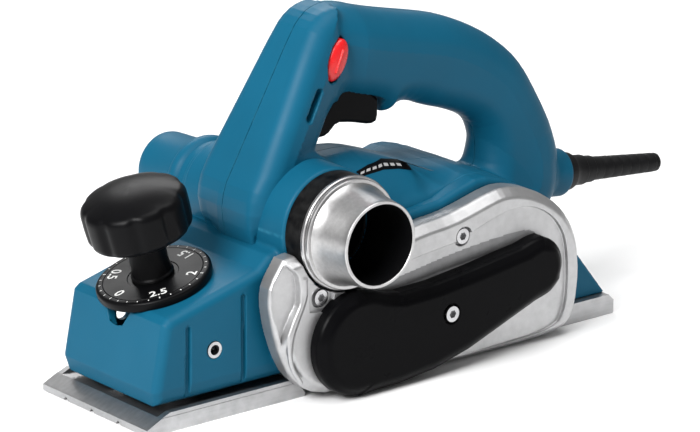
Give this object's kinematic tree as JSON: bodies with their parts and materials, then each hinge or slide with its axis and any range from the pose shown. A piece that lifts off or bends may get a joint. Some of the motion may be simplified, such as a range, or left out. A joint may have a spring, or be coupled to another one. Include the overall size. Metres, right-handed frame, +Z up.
{
  "type": "electric hand planer",
  "caption": "Corded hand planer with a blue D-handle body, silver belt housing, depth knob, chip outlet, belt-driven cutter drum and lifting front shoe.",
  "frame": {"origin": "centre of the sole, on the rear shoe's running face", "axes": "+X from the front of the sole towards the cord, +Y to the side away from the belt cover, +Z up"},
  "size_m": [0.3565, 0.168, 0.1765],
  "materials": {
    "blue_nylon": "fine satin moulded nylon",
    "sole_aluminium": "machined and brushed",
    "cast_aluminium": "die-cast, silver lacquered",
    "satin_aluminium": "satin turned",
    "black_plastic": "fine satin",
    "inner_plastic": "plain",
    "red_plastic": "gloss",
    "black_rubber": "matt",
    "steel": "zinc plated",
    "bearing_steel": "ground",
    "drum_alloy": "machined",
    "carbide": "ground",
    "laminations": "varnished laminations",
    "copper": "turned copper",
    "fan_plastic": "plain",
    "carbon": "pressed carbon"
  },
  "bodies": {
    "housing": {"main_housing": "blue_nylon", "chip_duct": "blue_nylon", "guide_insert": "steel", "handle_near_shell": "blue_nylon", "handle_far_shell": "blue_nylon", "handle_screws": "steel", "vent_grille": "black_plastic", "rear_shoe": "sole_aluminium", "rear_shoe_screws": "steel", "belt_housing": "cast_aluminium", "belt_housing_screws": "steel", "belt_cover": "black_plastic", "belt_cover_screw": "steel", "drive_belt": "black_rubber", "drum_bearings": "bearing_steel", "motor_bearings": "bearing_steel", "side_bearing_plate": "sole_aluminium", "side_plate_screws": "steel", "duct_collar": "black_plastic", "far_outlet": "blue_nylon", "switch_module": "inner_plastic", "trigger_pin": "steel", "stator": "laminations", "brush_holders": "inner_plastic", "carbon_brushes": "carbon", "cord_boot": "black_rubber", "cord_clamp": "inner_plastic"},
    "front_shoe": {"front_shoe": "sole_aluminium"},
    "depth_knob": {"depth_dial": "black_plastic", "depth_knob": "black_plastic", "depth_screw": "steel"},
    "drum": {"drum_core": "drum_alloy", "planer_blades": "carbide", "blade_clamp_bars": "drum_alloy", "blade_clamp_screws": "steel", "drum_shaft": "steel", "drum_pulley": "steel"},
    "motor": {"motor_shaft": "steel", "motor_pulley": "steel", "cooling_fan": "fan_plastic", "armature": "laminations", "commutator": "copper"},
    "trigger": {"trigger": "black_plastic"},
    "lock_button": {"lock_button": "red_plastic"},
    "chip_adapter": {"chip_adapter": "satin_aluminium"}
  },
  "joints": [
    {"name": "depth_setting", "type": "hinge", "parent": "housing", "child": "depth_knob", "pos_m": [-0.11, 0, 0.062], "axis": [-0.2756, 0, 0.9613], "range_deg": [0, 312.1]},
    {"name": "front_shoe_lift", "type": "slide", "parent": "housing", "child": "front_shoe", "axis": [-0.2756, 0, 0.9613], "range_m": [0, 0.0026]},
    {"name": "drum_spin", "type": "hinge", "parent": "housing", "child": "drum", "pos_m": [-0.0335, 0, 0.027], "axis": [0, -1, 0], "continuous": true},
    {"name": "motor_spin", "type": "hinge", "parent": "housing", "child": "motor", "pos_m": [0.0795, 0, 0.041], "axis": [0, -1, 0], "continuous": true},
    {"name": "trigger_squeeze", "type": "hinge", "parent": "housing", "child": "trigger", "pos_m": [-0.01, 0, 0.1355], "axis": [0, -1, 0], "range_deg": [0, 7], "stiffness_Nm_per_rad": 0.5, "springref_deg": -5.73},
    {"name": "lock_button_press", "type": "slide", "parent": "housing", "child": "lock_button", "axis": [0, 1, 0], "range_m": [0, 0.003], "stiffness_N_per_m": 400, "springref_m": -0.002},
    {"name": "adapter_pull", "type": "slide", "parent": "housing", "child": "chip_adapter", "axis": [0, -1, 0], "range_m": [0, 0.02]}
  ],
  "couplings": [
    {"joint": "depth_setting", "follows": "front_shoe_lift", "rad_per_m": 2094.4},
    {"joint": "motor_spin", "follows": "drum_spin", "ratio": 1.5714}
  ]
}
